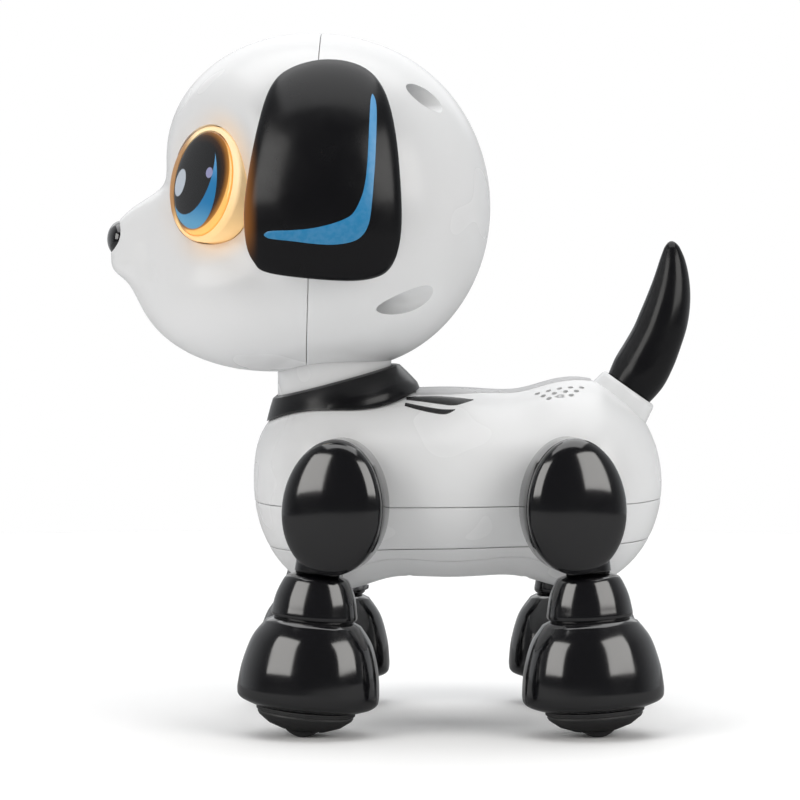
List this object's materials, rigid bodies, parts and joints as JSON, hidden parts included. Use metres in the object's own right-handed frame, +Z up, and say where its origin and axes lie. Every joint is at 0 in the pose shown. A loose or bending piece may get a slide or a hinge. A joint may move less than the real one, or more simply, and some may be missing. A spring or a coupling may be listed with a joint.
{
  "type": "robot dog toy",
  "caption": "White and black toy robot puppy with a turning round head, droopy ears, glowing eyes, swinging legs with foot rollers and a curved tail.",
  "frame": {"origin": "middle of the object's box at the surface it stands on", "axes": "+Z up; the dog looks along -X, its left side faces -Y"},
  "size_m": [0.1283, 0.0888, 0.151],
  "materials": {
    "shell_white": "smooth glossy white moulding",
    "leg_black": "polished black moulding",
    "trim_black": "satin black moulding",
    "sole_black": "dull dark moulding",
    "eye_print": "printed lens under a clear gloss",
    "eye_glow": "translucent amber ring, lit from behind",
    "band_grey": "light grey strip",
    "board_green": "circuit board",
    "plated_steel": "bright plated steel",
    "natural_nylon": "natural nylon",
    "cell_wrap": "plain cell wrap"
  },
  "bodies": {
    "torso": {"back_shell": "shell_white", "middle_shell": "shell_white", "belly_shell": "shell_white", "neck": "shell_white", "collar": "trim_black", "back_band": "band_grey", "battery_tray": "trim_black", "battery_cell_left": "cell_wrap", "battery_cell_middle": "cell_wrap", "battery_cell_right": "cell_wrap", "circuit_board": "board_green", "speaker": "plated_steel", "motor": "plated_steel", "gear_axle": "plated_steel"},
    "battery_door": {"battery_door": "shell_white", "door_screw": "plated_steel"},
    "power_switch": {"power_switch": "trim_black"},
    "motor_pinion": {"motor_pinion": "natural_nylon"},
    "drive_gear": {"drive_gear": "natural_nylon"},
    "head": {"head_front_shell": "shell_white", "head_rear_shell": "shell_white", "nose": "leg_black", "eye_lens_left": "eye_print", "eye_lens_right": "eye_print", "eye_halo_left": "eye_glow", "eye_halo_right": "eye_glow", "eye_light_board_left": "board_green", "eye_light_board_right": "board_green", "head_screw_upper_left": "plated_steel", "head_screw_upper_right": "plated_steel", "head_screw_lower_left": "plated_steel", "head_screw_lower_right": "plated_steel"},
    "ear_left": {"ear_left_outer": "trim_black", "ear_left_inner": "trim_black"},
    "ear_right": {"ear_right_outer": "trim_black", "ear_right_inner": "trim_black"},
    "tail": {"tail": "trim_black"},
    "leg_front_left": {"thigh_cover_front_left": "leg_black", "leg_inner_front_left": "leg_black", "foot_cover_front_left": "leg_black", "sole_front_left": "sole_black"},
    "roller_front_left": {"roller_front_left": "sole_black"},
    "leg_front_right": {"thigh_cover_front_right": "leg_black", "leg_inner_front_right": "leg_black", "foot_cover_front_right": "leg_black", "sole_front_right": "sole_black"},
    "roller_front_right": {"roller_front_right": "sole_black"},
    "leg_rear_left": {"thigh_cover_rear_left": "leg_black", "leg_inner_rear_left": "leg_black", "foot_cover_rear_left": "leg_black", "sole_rear_left": "sole_black"},
    "roller_rear_left": {"roller_rear_left": "sole_black"},
    "leg_rear_right": {"thigh_cover_rear_right": "leg_black", "leg_inner_rear_right": "leg_black", "foot_cover_rear_right": "leg_black", "sole_rear_right": "sole_black"},
    "roller_rear_right": {"roller_rear_right": "sole_black"}
  },
  "joints": [
    {"name": "head_turn", "type": "hinge", "parent": "torso", "child": "head", "pos_m": [-0.0144, 0, 0.085], "axis": [0, 0, 1], "range_deg": [-35, 35]},
    {"name": "ear_left_turn", "type": "hinge", "parent": "head", "child": "ear_left", "pos_m": [-0.0132, 0, 0.1135], "axis": [0, -0.8829, 0.4695], "range_deg": [-12, 12]},
    {"name": "ear_right_turn", "type": "hinge", "parent": "head", "child": "ear_right", "pos_m": [-0.0132, 0, 0.1135], "axis": [0, 0.8829, 0.4695], "range_deg": [-12, 12]},
    {"name": "tail_turn", "type": "hinge", "parent": "torso", "child": "tail", "pos_m": [0.0498, 0, 0.0723], "axis": [0.5736, 0, 0.8192], "range_deg": [-30, 30]},
    {"name": "hip_front_left", "type": "hinge", "parent": "torso", "child": "leg_front_left", "pos_m": [-0.0125, -0.0258, 0.04954], "axis": [0.225, 0.9744, 0], "range_deg": [-8, 8]},
    {"name": "roller_front_left_spin", "type": "hinge", "parent": "leg_front_left", "child": "roller_front_left", "pos_m": [-0.02024, -0.0273, 0.005], "axis": [0.225, 0.9744, 0], "continuous": true},
    {"name": "hip_front_right", "type": "hinge", "parent": "torso", "child": "leg_front_right", "pos_m": [-0.0125, 0.0258, 0.04986], "axis": [-0.225, 0.9744, 0], "range_deg": [-8, 8]},
    {"name": "roller_front_right_spin", "type": "hinge", "parent": "leg_front_right", "child": "roller_front_right", "pos_m": [-0.01796, 0.02782, 0.005], "axis": [-0.225, 0.9744, 0], "continuous": true},
    {"name": "hip_rear_left", "type": "hinge", "parent": "torso", "child": "leg_rear_left", "pos_m": [0.0356, -0.0258, 0.04977], "axis": [-0.225, 0.9744, 0], "range_deg": [-8, 8]},
    {"name": "roller_rear_left_spin", "type": "hinge", "parent": "leg_rear_left", "child": "roller_rear_left", "pos_m": [0.04183, -0.02765, 0.005], "axis": [-0.225, 0.9744, 0], "continuous": true},
    {"name": "hip_rear_right", "type": "hinge", "parent": "torso", "child": "leg_rear_right", "pos_m": [0.0356, 0.0258, 0.04994], "axis": [0.225, 0.9744, 0], "range_deg": [-8, 8]},
    {"name": "roller_rear_right_spin", "type": "hinge", "parent": "leg_rear_right", "child": "roller_rear_right", "pos_m": [0.0403, 0.028, 0.005], "axis": [0.225, 0.9744, 0], "continuous": true},
    {"name": "drive_gear_spin", "type": "hinge", "parent": "torso", "child": "drive_gear", "pos_m": [0.00655, 0.0105, 0.06], "axis": [0, 1, 0], "continuous": true},
    {"name": "motor_pinion_spin", "type": "hinge", "parent": "torso", "child": "motor_pinion", "pos_m": [-0.003, 0.0105, 0.0586], "axis": [0, 1, 0], "continuous": true},
    {"name": "battery_door_lift", "type": "slide", "parent": "torso", "child": "battery_door", "axis": [0, 0, -1], "range_m": [0, 0.01]},
    {"name": "power_switch_slide", "type": "slide", "parent": "torso", "child": "power_switch", "axis": [0, 1, 0], "range_m": [0, 0.003]}
  ],
  "couplings": [
    {"joint": "motor_pinion_spin", "follows": "drive_gear_spin", "ratio": -2.8},
    {"joint": "hip_front_right", "follows": "hip_front_left", "ratio": -1},
    {"joint": "hip_rear_left", "follows": "hip_front_left", "ratio": -1},
    {"joint": "hip_rear_right", "follows": "hip_front_left", "ratio": 1}
  ]
}
